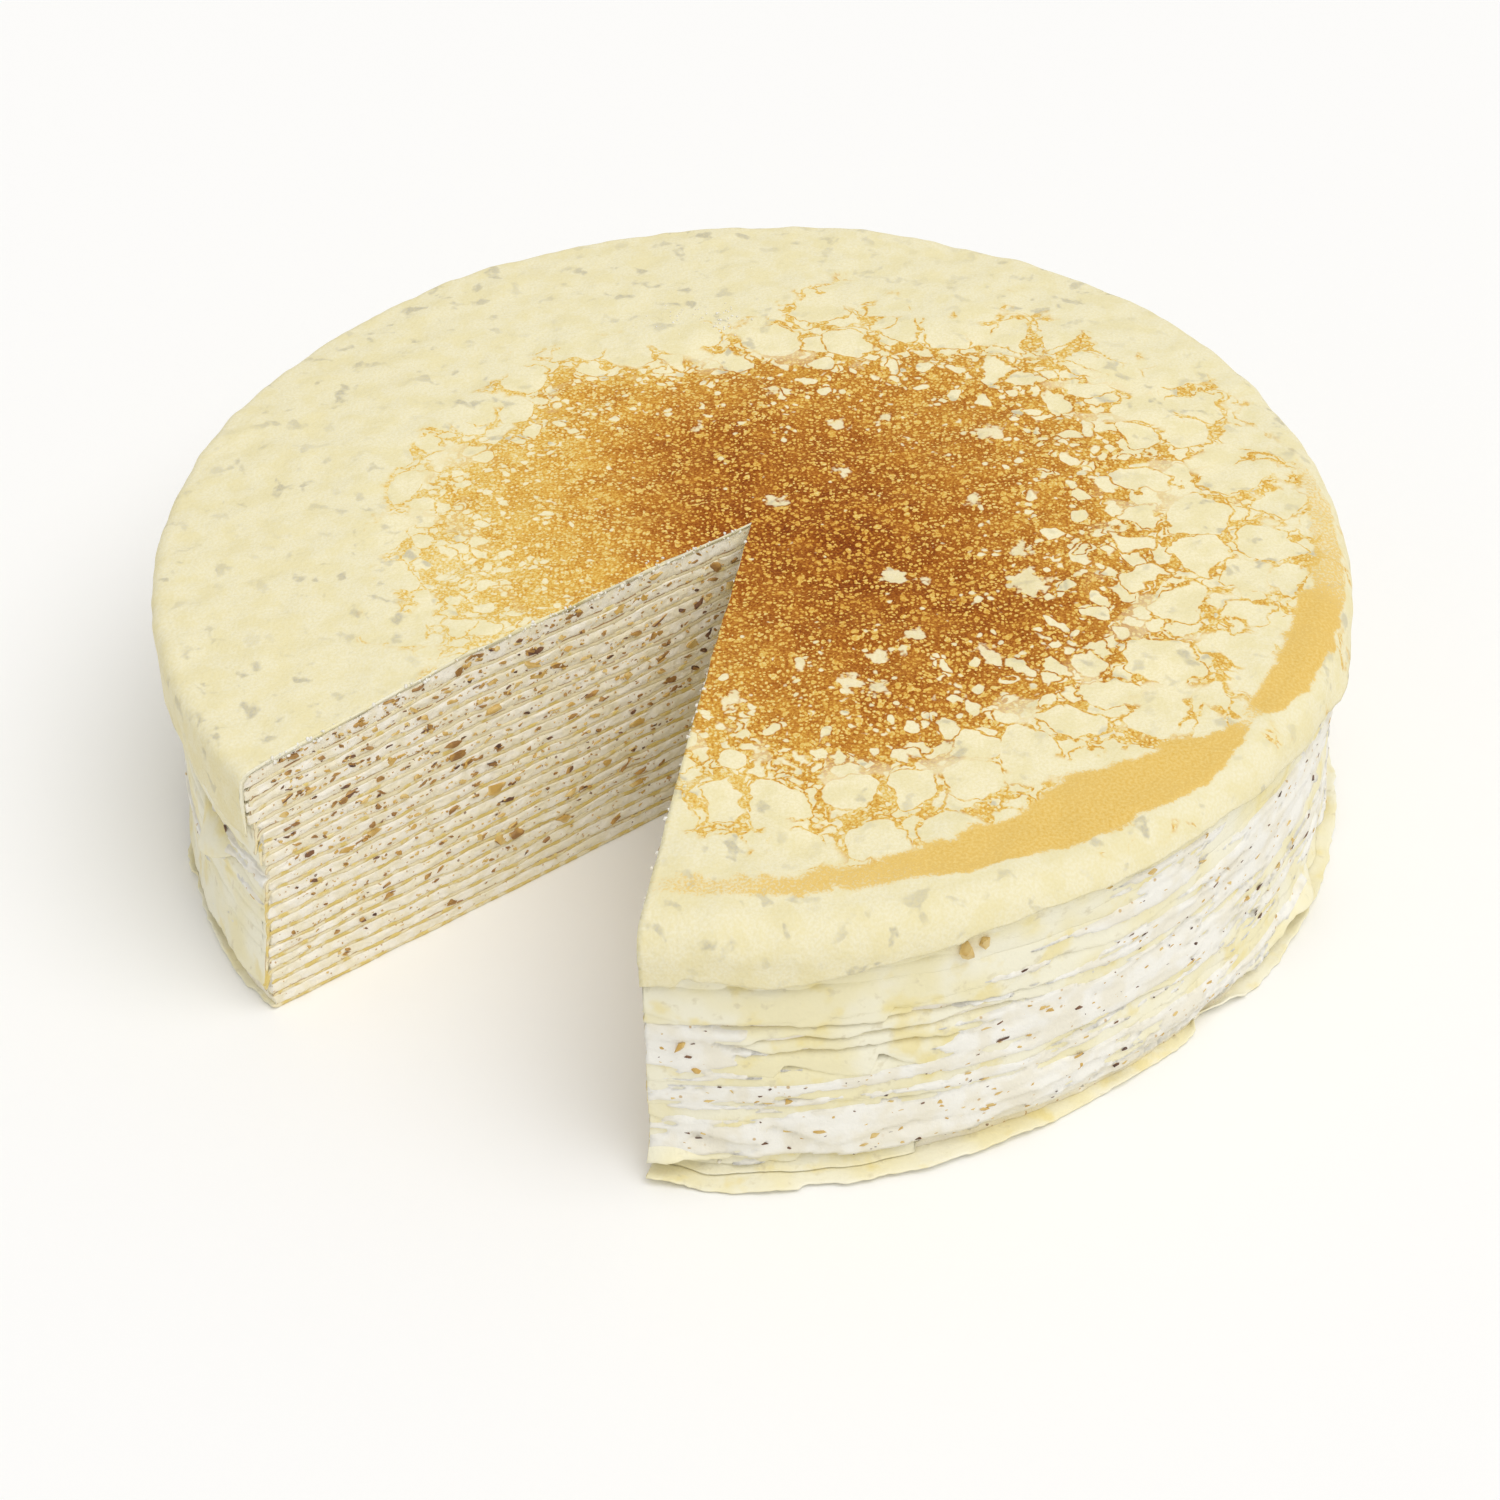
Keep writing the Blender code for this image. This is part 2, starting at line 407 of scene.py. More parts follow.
def slab(name, rows, place, lids, material, how_fried=0.0):
    """A strip of faces, one row for each entry of rows, is bent round the layer's outline. Its ends
    are joined where the two cuts meet, and its first and last row shrink to a point inside the
    cake, at the heights given by lids."""
    bm = grid(COLUMNS, len(rows) + 1)
    cut_face, across, fried = [bm.verts.layers.float.new(look) for look in SLAB_LOOKS]
    for column, row, vert in corners(bm, COLUMNS):
        vert[fried] = how_fried
        if 0 < row <= len(rows):
            stretch, share = outline_place(column)
            vert.co, vert[cut_face], vert[across] = place(stretch, share, rows[row - 1])
        else:
            vert.co = HEART + (lids[0] if row == 0 else lids[1],)
    weld(bm)
    return finished(bm, name, material)


def finished(bm, name, *materials):
    """The bmesh as an object, with its faces turned outwards."""
    bmesh.ops.recalc_face_normals(bm, faces=bm.faces)
    if bm.calc_volume(signed=True) < 0.0:
        bmesh.ops.reverse_faces(bm, faces=bm.faces)
    mesh = bpy.data.meshes.new(name)
    bm.to_mesh(mesh)
    bm.free()
    for material in materials:
        mesh.materials.append(material)
    piece = bpy.data.objects.new(name, mesh)
    bpy.context.scene.collection.objects.link(piece)
    return piece


def cut_polar(stretch, along, depth):
    """A point beside a cut face: how far along it from the axis, and how deep in the cake."""
    turn = math.degrees(math.atan2(depth, max(along, 1e-9)))
    angle = CUT_FROM + turn if stretch == "first cut" else CUT_TO - turn
    return math.hypot(along, depth), angle


def rim_angle(share, depth):
    """The angle of a column on the rim, kept this deep inside both cut faces."""
    inward = math.degrees(depth / RADIUS)
    return clamp(lerp(CUT_FROM, CUT_TO, share), CUT_FROM + inward, CUT_TO - inward)


def off_axis(along):
    """The relief of a cut face fades to nothing at the axis, where the two faces meet."""
    return smooth(0.0, 2 * MM, along)


# Rows of a crepe, from inside the cake along its upper side to its edge, and back along its
# underside: share of the way in, and which side.
CREPE_ROWS = (
    (1.0, 1.0), (0.82, 1.0), (0.65, 1.0), (0.48, 1.0), (0.32, 1.0), (0.18, 1.0), (0.07, 1.0),
    (0.015, 0.9), (0.0, 0.3), (0.0, -0.4), (0.02, -1.0), (0.4, -1.0), (1.0, -1.0),
)
INTO_CAKE = 3.0 * MM


def crepe_slab(number, material):
    overhang = OVERHANGS[number]

    def place(stretch, share, row):
        depth_share, side = row
        depth, on_cut = depth_share * INTO_CAKE, 0.0
        if stretch == "rim":
            angle = rim_angle(share, depth)
            bend, length, _, _ = overhang.at(angle)
            along = bend + length - depth_share * (length + INTO_CAKE)
        else:
            on_cut = 1.0 if depth_share < 0.05 else 0.0
            bend, length, _, _ = overhang.at(CUT_AT[stretch])
            along = share * (bend + length - depth_share * (length + INTO_CAKE))
            depth -= on_cut * cut_relief(number, along, side) * off_axis(along)
            along, angle = cut_polar(stretch, along, depth)
        radius, height = crepe_point(number, along, angle, side)
        x, y = polar(radius, angle)
        return (x, y, height), on_cut, 0.5 + 0.5 * side

    lids = crepe_height(number, *HEART, 1), crepe_height(number, *HEART, -1)
    how_fried = 1.0 if number >= CREPES - 2 else random.Random(number).uniform(0.0, 0.8)
    return slab(f"crepe_layer_{number:02d}", CREPE_ROWS, place, lids, material, how_fried)


def cut_relief(number, along, side):
    """How far a crepe stands out of the cut face, or is drawn back into it."""
    broad = 0.30 * rough(along / (9 * MM), number * 3.7, 1.0)
    fine = 0.12 * rough(along / (1.5 * MM), number * 6.1, side)
    return (broad + fine - 0.12) * MM


# Rows of a layer of cream, the same way round: how deep in the cake in mm, and share of its height.
CREAM_ROWS = (
    (3.0, 1.0), (0.8, 1.0), (0.05, 1.0), (0.0, 0.93), (0.0, 0.76), (0.0, 0.58), (0.0, 0.42),
    (0.0, 0.24), (0.0, 0.07), (0.05, 0.0), (0.8, 0.0), (3.0, 0.0),
)


def cream_slab(number, material):
    """The cream between a crepe and the next one up."""
    middle = 0.5 * (LEVELS[number][1] + LEVELS[number + 1][0])

    def place(stretch, share, row):
        depth, rise = row
        depth, on_cut = depth * MM, 0.0
        if stretch == "rim":
            angle = rim_angle(share, depth)
            along = cream_edge(number, angle, rise) - depth
        else:
            on_cut = 1.0 if depth < 0.1 * MM else 0.0
            along = share * (cream_edge(number, CUT_AT[stretch], rise) - depth)
            height = middle + (rise - 0.5) * 2 * MM
            depth -= on_cut * cream_relief(stretch, along, height, rise) * off_axis(along)
            along, angle = cut_polar(stretch, along, depth)
        x, y = polar(along, angle)
        low, high = crepe_height(number, x, y, 1), crepe_height(number + 1, x, y, -1)
        return (x, y, lerp(low, high, rise)), on_cut, rise

    lids = crepe_height(number + 1, *HEART, -1), crepe_height(number, *HEART, 1)
    return slab(f"cream_layer_{number:02d}", CREAM_ROWS, place, lids, material)


def cream_edge(number, angle, rise):
    height = lerp(LEVELS[number][1], LEVELS[number + 1][0], rise)
    along = around(angle)
    swell = 0.7 * rough(along / (9 * MM), height / (4 * MM), 2.0)
    swell += 0.25 * rough(along / (2.2 * MM), height / MM, 5.0)
    edge = side_radius(angle, height) + (0.7 + swell) * MM
    _, length, tilt, _ = OVERHANGS[CREPES].at(angle)
    roll = shoulder(angle)
    skirt_end = HEIGHT - roll - (length - (roll - CREPE / 2) * tilt)
    under_skirt = smooth(skirt_end - 2.2 * MM, skirt_end + 0.6 * MM, height)
    inside = room(angle, height) - 0.1 * MM
    return min(lerp(edge, inside, under_skirt), inside)


def cream_relief(stretch, along, height, rise):
    """The cut face of the cream: dragged by the knife, with small holes and torn peaks."""
    seed = 31.0 if stretch == "first cut" else 67.0
    belly = 0.10 * (1.0 - (2.0 * rise - 1.0) ** 2)
    drag = 0.24 * rough(along / (5 * MM), height / (1.4 * MM), seed)
    torn_bits = 0.24 * rough(along / (1.2 * MM), height / (0.8 * MM), seed + 5.0)
    return (belly - 0.08 + drag + torn_bits) * MM


# ------ the top crepe

TOP_COLUMNS = 590
TOP_STEP = 1.3 * MM
ROLL_FROM = RADIUS - SOFT_SHOULDER - 2 * MM
ROLL_ROWS = 31
# The rounded tip of the skirt, from its outer to its inner side, and the rows back under the crepe,
# in mm: first from its edge, then towards the axis.
SKIRT_TIP = (0.9, 0.3, -0.3, -0.9)
UNDER_STEPS = (0.0, 0.5, 1.0, 1.8, 3.0, 4.5, 6.5, 9.0, 12.0, 15.0)
UNDER_STEP = 3.5
# What its corners say about its look. "outside" tells its fried side from its underside, and the
# others are worked out below.
TOP_LOOKS = ("browned", "toned", "coarse", "gold", "lone", "outside")


def top_rows():
    """Rows of the top crepe, from the axis over the rim to its edge, and back underneath. A row is
    where it runs (a length from the axis, or back from the edge) and on which side."""
    rows = []
    along = 0.0
    while along < ROLL_FROM:
        rows.append(("axis", along, 1.0))
        along += TOP_STEP
    for step in range(ROLL_ROWS):
        rows.append(("rim", step / ROLL_ROWS, 1.0))
    for side in SKIRT_TIP:
        rows.append(("rim", 1.0, side))
    for back in UNDER_STEPS:
        rows.append(("edge", back * MM, -1.0))
    along = ROLL_FROM
    while along > 0.0:
        rows.append(("axis", along, -1.0))
        along -= UNDER_STEP * MM
    rows.append(("axis", 0.0, -1.0))
    return rows


def flat_length(angle, row):
    """How far from its middle a row of the crepe lies, measured along the crepe."""
    kind, value, _ = row
    bend, length, _, _ = OVERHANGS[CREPES].at(angle)
    if kind == "axis":
        return value
    if kind == "rim":
        return lerp(ROLL_FROM, bend + length, value)
    return max(0.0, bend + length - value)


def top_place(angle, row, on_cut):
    """A point of the top crepe for one row, at an angle. on_cut is -1 or 1 on the two cut faces."""
    along = flat_length(angle, row)
    radius, height = crepe_point(CREPES, along, angle, row[2])
    if on_cut and radius > 1.0 * MM:
        proud = (cut_relief(CREPES, along, 0.0) + 0.15 * MM) * smooth(1 * MM, 5 * MM, radius)
        angle += on_cut * math.degrees(proud / radius)
    return polar(radius, angle) + (height,)


def nearest_cut(edge):
    """The cut face that an edge lies on."""
    middle = 0.5 * (edge.verts[0].co + edge.verts[1].co)
    along = [middle.dot(polar_point(1.0, near)) for near in (CUT_FROM, CUT_TO)]
    return CUT_FROM if along[0] > along[1] else CUT_TO


def top_crepe_piece(material, cut_material):
    rows = top_rows()
    bm = grid(TOP_COLUMNS, len(rows) - 1)
    flat = bm.verts.layers.float_vector.new("flat")
    layers = [bm.verts.layers.float.new(look) for look in TOP_LOOKS]
    for column, row, vert in corners(bm, TOP_COLUMNS):
        angle = lerp(CUT_FROM, CUT_TO, column / TOP_COLUMNS)
        on_cut = {0: -1.0, TOP_COLUMNS: 1.0}.get(column, 0.0)
        vert.co = top_place(angle, rows[row], on_cut)
        along = flat_length(angle, rows[row])
        x, y = polar(along / RADIUS, angle)
        vert[flat] = (x * RADIUS, y * RADIUS, 0.0)
        top_side = 1.0 if rows[row][2] > 0.0 else 0.0
        looks = fried_look(x, y) + (golden_band(x, y) * top_side, from_lone_blister(x, y), top_side)
        for layer, value in zip(layers, looks):
            vert[layer] = value
    weld(bm)
    rims = [edge for edge in bm.edges if edge.is_boundary]
    before = set(bm.faces)
    for near in (CUT_FROM, CUT_TO):
        bmesh.ops.contextual_create(bm, geom=[edge for edge in rims if nearest_cut(edge) == near])
    for face in set(bm.faces) - before:
        face.material_index = 1
    return finished(bm, "top_crepe", material, cut_material)


# The browning of the top crepe, in shares of the cake's radius. Round its middle, each direction
# has a reach of the even brown and a reach of the golden network.
HOT_X, HOT_Y = 0.10, -0.05
HOT_REACH = (
    (0.0, 0.39, 0.86), (30.0, 0.48, 0.82), (45.0, 0.52, 0.82), (75.0, 0.48, 0.76), (105.0, 0.51, 0.68),
    (135.0, 0.57, 0.74), (160.0, 0.56, 0.72), (200.0, 0.47, 0.70), (218.0, 0.51, 0.66), (250.0, 0.49, 0.70),
    (270.0, 0.50, 0.77), (290.0, 0.46, 0.77), (315.0, 0.44, 0.79), (330.0, 0.46, 0.84), (345.0, 0.41, 0.86),
    (360.0, 0.39, 0.86),
)
# The darkest ridge of the browning, and how far it fades.
CORE_FROM = Vector((-0.04, 0.16))
CORE_TO = Vector((0.30, -0.28))
CORE_RADIUS = 0.28
CORE_TONE = 0.18

# The golden band inside the rim: angle, middle radius, half width, strength.
GOLD_BAND = (
    (256.0, 0.892, 0.010, 0.0), (264.0, 0.892, 0.018, 0.45), (280.0, 0.886, 0.025, 0.65),
    (292.0, 0.880, 0.040, 0.90), (306.0, 0.880, 0.062, 1.00), (316.0, 0.905, 0.048, 1.00),
    (323.0, 0.925, 0.020, 0.85), (326.0, 0.930, 0.010, 0.30), (329.0, 0.935, 0.024, 0.85),
    (337.0, 0.945, 0.036, 0.95), (344.0, 0.945, 0.040, 0.90), (351.0, 0.955, 0.030, 0.55),
    (360.0, 0.955, 0.022, 0.50), (366.0, 0.955, 0.016, 0.35), (376.0, 0.950, 0.010, 0.0),
)


def from_table(table, at):
    """A row of the table, interpolated at its first column."""
    for first, second in zip(table, table[1:]):
        if first[0] <= at <= second[0]:
            share = smooth(first[0], second[0], at)
            return [lerp(a, b, share) for a, b in zip(first[1:], second[1:])]
    return [0.0] * (len(table[0]) - 1)


def browning(x, y):
    """1 in the hot middle of the pan, 0.5 at the edge of the even brown, 0 where the network ends."""
    dx, dy = x - HOT_X, y - HOT_Y
    away = math.hypot(dx, dy)
    even, network = from_table(HOT_REACH, math.degrees(math.atan2(dy, dx)) % 360.0)
    away *= 1.0 + 0.13 * rough(x * 4.5, y * 4.5, 3.0) + 0.06 * rough(x * 11.0, y * 11.0, 5.0)
    if away < even:
        return 1.0 - 0.5 * away / even
    return 0.5 * (1.0 - (away - even) / (network - even))


def core(x, y):
    """1 along the darkest ridge of the browning, falling to 0 around it."""
    spot, ridge = Vector((x, y)), CORE_TO - CORE_FROM
    share = clamp((spot - CORE_FROM).dot(ridge) / ridge.length_squared)
    away = (spot - CORE_FROM - ridge * share).length
    return math.exp(-((away / CORE_RADIUS) ** 2)) * (1.0 + 0.5 * rough(x * 6.0, y * 6.0, 8.0))


def fried_look(x, y):
    """The browning at a spot, its tone from pale 0 to dark 1, and how coarse its blisters are."""
    browned = browning(x, y)
    coarse = max(smooth(-0.40, 0.12, x), 0.55 * smooth(0.20, 0.45, y))
    even = lerp(0.40, 0.62, coarse)
    if browned > 0.5:
        toned = lerp(even, lerp(0.62, 0.72, coarse), smooth(0.5, 0.95, browned))
    else:
        toned = lerp(lerp(0.28, 0.38, coarse), even, smooth(0.05, 0.55, browned))
    return browned, toned + CORE_TONE * core(x, y), coarse


# Lone pale blisters in the even brown: their middles and how wide they are, in mm.
LONE_BLISTERS = (
    (5.0, 7.0, 3.8), (17.6, 33.0, 3.4), (26.8, 34.9, 2.2), (26.5, -18.2, 5.0), (32.4, -20.4, 2.2),
    (42.9, 5.4, 3.0), (22.3, -42.7, 3.9), (8.5, -44.7, 2.8), (17.0, -50.2, 5.0), (21.9, -51.6, 4.0),
    (29.8, -37.1, 4.0), (50.9, -10.5, 4.0), (51.6, -21.1, 7.6), (42.8, -41.5, 5.0), (-9.9, 33.2, 2.0),
    (4.6, 45.0, 2.2), (-4.2, -54.4, 4.0), (18.2, 16.4, 2.8), (47.3, 27.7, 5.6),
)


def from_lone_blister(x, y):
    """How far outside the nearest lone blister a spot lies, in mm."""
    x, y = x * RADIUS / MM, y * RADIUS / MM
    return min(math.hypot(x - at_x, y - at_y) - 0.5 * across for at_x, at_y, across in LONE_BLISTERS)


def golden_band(x, y):
    angle = math.degrees(math.atan2(y, x)) % 360.0
    angle += 360.0 if angle < 90.0 else 0.0
    middle, half_width, strength = from_table(GOLD_BAND, angle)
    if strength <= 0.0:
        return 0.0
    away = abs(math.hypot(x, y) - middle) + 0.014 * rough(x * 14.0, y * 14.0, 2.0)
    away += 0.010 * rough(x * 40.0, y * 40.0, 4.0)
    patchy = 1.0 + 0.30 * rough(x * 8.0, y * 8.0, 6.0)
    return strength * patchy * (1.0 - smooth(0.85 * half_width, 1.1 * half_width, away))


# ------ cream smeared over the side

SMEAR_ROWS = 92
SMEAR_LOW = 2.6 * MM
SMEAR_HIGH = HEIGHT - 9.0 * MM
SMEAR_STEP = 0.9 * MM
SMEAR_COLUMNS = round(math.radians(CUT_TO - CUT_FROM) * RADIUS / SMEAR_STEP)
# How much of the side shows bare crepes, and in how many steps a hanging edge is followed.
BARE_SIDE = 0.30
EDGE_STEPS = 24


def hanging_edges():
    """Radius of the outermost hanging crepe for each row and column of the smear, 0 where none hangs."""
    table = [[0.0] * (SMEAR_ROWS + 1) for _ in range(SMEAR_COLUMNS + 1)]
    step = (SMEAR_HIGH - SMEAR_LOW) / SMEAR_ROWS
    for column, heights in enumerate(table):
        angle = lerp(CUT_FROM, CUT_TO, column / SMEAR_COLUMNS)
        for number in range(FLAT_BASE, CREPES):
            bend, length, _, _ = OVERHANGS[number].at(angle)
            for part in range(1, EDGE_STEPS + 1):
                radius, height = crepe_point(number, bend + length * part / EDGE_STEPS, angle, 1)
                row = round((height - SMEAR_LOW) / step)
                if 0 <= row <= SMEAR_ROWS:
                    heights[row] = max(heights[row], radius)
    return table


# Where the knife left the cream thicker, or wiped it off: angle, half width, height and half height
# in mm, how much.
CREAM_PATCHES = (
    (262.0, 9.0, 30.0, 7.0, 1.0), (266.0, 24.0, 19.0, 4.0, 0.5), (300.0, 26.0, 25.0, 6.0, 0.6),
    (328.0, 26.0, 36.0, 12.0, 0.5), (210.0, 12.0, 30.0, 8.0, 0.5), (196.0, 14.0, 18.0, 7.0, 0.5),
    (285.0, 44.0, 8.0, 7.0, 0.7), (273.0, 26.0, 10.0, 6.0, 0.5), (271.0, 24.0, 44.0, 9.0, -0.9),
    (279.0, 16.0, 30.0, 8.0, -0.5), (310.0, 10.0, 47.0, 5.0, 0.6),
)


def spread_amount(angle, height):
    """Below 0 where the side shows bare crepes, above 0 where the palette knife left cream."""
    along = around(angle)
    sloping = height + 1.6 * MM * rough(along / (60 * MM), 19.0)
    streak = 0.50 * rough(along / (62 * MM), sloping / (7.5 * MM), 21.0)
    streak += 0.75 * rough(along / (24 * MM), sloping / (2.2 * MM), 23.0)
    streak += 0.34 * rough(along / (7 * MM), height / (1.1 * MM), 25.0)
    streak += 0.20 * rough(along / (1.8 * MM), height / (0.8 * MM), 26.0)
    more = 0.34 * math.cos(math.radians(angle - 350.0)) - 0.30 * smooth(36 * MM, 52 * MM, height)
    for centre, width, middle, half, amount in CREAM_PATCHES:
        more += amount * bump(angle, centre, width) * smooth(half, 0.5 * half, abs(height / MM - middle))
    return streak + more - BARE_SIDE


class Smear:
    """The side's film of cream. Its radius is looked up by column and row."""

    def __init__(self):
        edges = hanging_edges()
        self.radius = []
        for column in range(SMEAR_COLUMNS + 1):
            angle = lerp(CUT_FROM, CUT_TO, column / SMEAR_COLUMNS)
            line = edges[column]
            radii = []
            for row in range(SMEAR_ROWS + 1):
                height = lerp(SMEAR_LOW, SMEAR_HIGH, row / SMEAR_ROWS)
                bare = side_radius(angle, height) + 1.2 * MM
                rows = range(max(0, row - 2), min(SMEAR_ROWS, row + 2) + 1)
                near = [max(bare, line[at]) for at in rows]
                outer = 0.55 * max(bare, line[row]) + 0.25 * max(near) + 0.20 * sum(near) / len(near)
                amount = spread_amount(angle, height)
                along = around(angle)
                fine = 0.11 * rough(along / (2.0 * MM), height / MM, 27.0)
                fine += 0.16 * rough(along / (16 * MM), height / (1.5 * MM), 28.0)
                film = lerp(-1.3, 0.26 + 0.30 * clamp(amount), smooth(-0.12, 0.12, amount)) + fine
                radii.append(min(outer + film * MM, room(angle, height)))
            self.radius.append(radii)

    def at(self, angle, height):
        column = round((angle - CUT_FROM) / (CUT_TO - CUT_FROM) * SMEAR_COLUMNS)
        row = round((height - SMEAR_LOW) / (SMEAR_HIGH - SMEAR_LOW) * SMEAR_ROWS)
        return self.radius[int(clamp(column, 0, SMEAR_COLUMNS))][int(clamp(row, 0, SMEAR_ROWS))]


def side_smear(smear, material, cut_material):
    """A closed shell round the side: up its outside, and back down inside the cake."""
    bm = grid(SMEAR_COLUMNS, SMEAR_ROWS + 3)
    for column, row, vert in corners(bm, SMEAR_COLUMNS):
        angle = lerp(CUT_FROM, CUT_TO, column / SMEAR_COLUMNS)
        height = lerp(SMEAR_LOW, SMEAR_HIGH, clamp((row - 1) / SMEAR_ROWS))
        radius = smear.radius[column][int(clamp(row - 1, 0, SMEAR_ROWS))]
        if row == SMEAR_ROWS + 3:
            height = SMEAR_LOW
        if row == 0 or row > SMEAR_ROWS + 1:
            radius = RADIUS - 9 * MM
        if column in (0, SMEAR_COLUMNS):
            back = 0.25 + 0.2 * rough(radius / (2 * MM), height / MM, 4.0)
            angle += math.degrees(back * MM / radius) * (1.0 if column == 0 else -1.0)
        vert.co = polar_point(radius, angle, height)
    weld(bm)
    before = set(bm.faces)
    bmesh.ops.holes_fill(bm, edges=[edge for edge in bm.edges if edge.is_boundary], sides=0)
    for face in set(bm.faces) - before:
        face.material_index = 1
    return finished(bm, "side_smear", material, cut_material)


# ------ nuts and crumbs

# Points of the hull of a small and of a large piece of nut.
FEW_POINTS, MANY_POINTS = 9, 14


def any_way(source):
    """A random direction."""
    return Vector([source.gauss(0.0, 1.0) for _ in range(3)]).normalized()


def chunk(bm, source, size, count, place):
    """A broken piece of nut: the hull of a few points in an uneven oval. Returns its faces."""
    turn = Matrix.Rotation(source.uniform(0, 2 * math.pi), 3, "Z")
    turn = Matrix.Rotation(source.uniform(0, math.pi), 3, "X") @ turn
    shape = Vector((1.15, source.uniform(0.55, 1.0), source.uniform(0.45, 0.80)))
    points = []
    for _ in range(count):
        point = any_way(source)
        point = turn @ (Vector([a * b for a, b in zip(point, shape)]) * 0.5 * size)
        points.append(bm.verts.new(place(point)))
    made = bmesh.ops.convex_hull(bm, input=points)
    loose = [item for item in made["geom_interior"] if isinstance(item, bmesh.types.BMVert)]
    bmesh.ops.delete(bm, geom=loose, context="VERTS")
    return [item for item in made["geom"] if isinstance(item, bmesh.types.BMFace)]


def on_face(stretch, along, depth, height):
    """A spot on a cut face: its place in the cake, and the face's outward and level directions."""
    radius, angle = cut_polar(stretch, along, depth)
    level = polar_point(1.0, CUT_AT[stretch])
    outward = Vector((level.y, -level.x, 0.0))
    if stretch == "second cut":
        outward = -outward
    return polar_point(radius, angle, height), outward, level


def nut_place(source, stretch):
    """Somewhere in the cream of a cut face; the upper layers hold more nuts."""
    share = source.random() ** 0.55
    number = 1 + int(clamp(share, 0.0, 0.999) * (CREPES - 1))
    along = lerp(3 * MM, RADIUS - 7 * MM, source.random() ** 0.9)
    x, y = polar(along, CUT_AT[stretch])
    low, high = crepe_height(number, x, y, 1), crepe_height(number + 1, x, y, -1)
    return along, low, high


def nut_pieces(name, seed, counts, skins, *materials):
    """Nuts in both cut faces, cut by the knife or standing proud. counts gives how many of which size
    in mm; skins is how often a piece still has its brown skin on one side."""
    source = random.Random(seed)
    bm = bmesh.new()
    for stretch in CUT_AT:
        for count, smallest, largest in counts:
            for _ in range(count):
                add_nut(bm, source, stretch, source.uniform(smallest, largest) * MM, skins)
    return finished(bm, name, *materials)


def add_nut(bm, source, stretch, size, skins):
    along, low, high = nut_place(source, stretch)
    height = source.uniform(low + 0.25 * size, max(low + 0.3 * size, high - 0.25 * size))
    centre, outward, level = on_face(stretch, along, source.uniform(0.0, 0.18) * size, height)
    tilt = source.uniform(-0.4, 0.4)
    level = level * math.cos(tilt) + Vector((0, 0, math.sin(tilt)))
    proud = source.uniform(0.1, 0.4) * MM + 0.10 * size

    def place(point):
        out = min(point.y, proud + source.uniform(-0.04, 0.04) * size)
        return centre + level * point.x * 1.15 + outward * out + level.cross(outward) * point.z * 0.72

    faces = chunk(bm, source, size, FEW_POINTS if size < 0.9 * MM else MANY_POINTS, place)
    if source.random() > skins:
        return
    side = any_way(source)
    for face in faces:
        face.normal_update()
        if face.normal.dot(side) > 0.25:
            face.material_index = 1


# Larger nuts caught under the skirt and in the side: angle, height and size in mm.
CAUGHT_NUTS = (
    (288.0, 48.0, 4.4), (289.6, 48.6, 3.0), (262.5, 31.0, 2.6), (264.0, 26.0, 2.2), (302.0, 51.5, 2.4),
)
SMALL_NUTS = (0.4, 0.5, 0.7, 0.9, 1.3, 2.0)


def side_nuts(name, seed, count, smear, *materials):
    """Small bits of nut pressed flat into the cream of the side."""
    source = random.Random(seed)
    bm = bmesh.new()
    for angle, height, size in CAUGHT_NUTS:
        middle = polar_point(RADIUS - 1.8 * MM, angle, height * MM)
        chunk(bm, source, size * MM, MANY_POINTS, lambda point: middle + point)
    placed = 0
    while placed < count:
        angle = source.uniform(CUT_FROM + 1, CUT_TO - 1)
        height = source.uniform(SMEAR_LOW + MM, SMEAR_HIGH - MM)
        radius = smear.at(angle, height)
        if spread_amount(angle, height) < 0.08:
            continue
        placed += 1
        size = source.choice(SMALL_NUTS) * MM * source.uniform(0.8, 1.2)
        outward = polar_point(1.0, angle)
        level = Vector((-outward.y, outward.x, source.uniform(-0.2, 0.2)))
        centre = polar_point(radius - 0.05 * size, angle, height)

        def place(point):
            return centre + level * point.x * 1.3 + outward * point.y * 0.4 + Vector((0, 0, point.z * 0.7))

        faces = chunk(bm, source, size, FEW_POINTS, place)
        if source.random() < 0.35:
            for face in faces:
                face.material_index = 1
    return finished(bm, name, *materials)


def crumb(bm, source, centre, size):
    """A small torn lump of cream."""
    made = bmesh.ops.create_icosphere(bm, subdivisions=1, radius=0.5 * size)
    stretch = Vector([source.uniform(0.6, 1.2) for _ in range(3)])
    shift = source.uniform(0.0, 100.0)
    for vert in made["verts"]:
        bulge = 1.0 + 0.35 * rough(vert.co.x / size * 2 + shift, vert.co.y / size * 2, vert.co.z / size * 2)
        vert.co = centre + Vector([a * b for a, b in zip(vert.co, stretch)]) * bulge


# Crumbs lying on the top crepe: share of the radius, angle, spread and largest size in mm, how many.
TOP_CRUMBS = (
    (0.625, 94.0, 5.0, 0.7, 34), (0.66, 100.0, 8.0, 0.5, 26), (0.23, 221.0, 2.0, 1.3, 12),
    (0.20, 218.0, 3.5, 0.9, 16), (0.06, 238.0, 1.0, 1.4, 5), (0.74, 46.0, 7.0, 0.5, 14),
)
# How many places are tried for a crumb along the top edge of each cut, and along the foot.
CUT_CRUMBS = {"first cut": 60, "second cut": 300}
FOOT_CRUMBS = 900


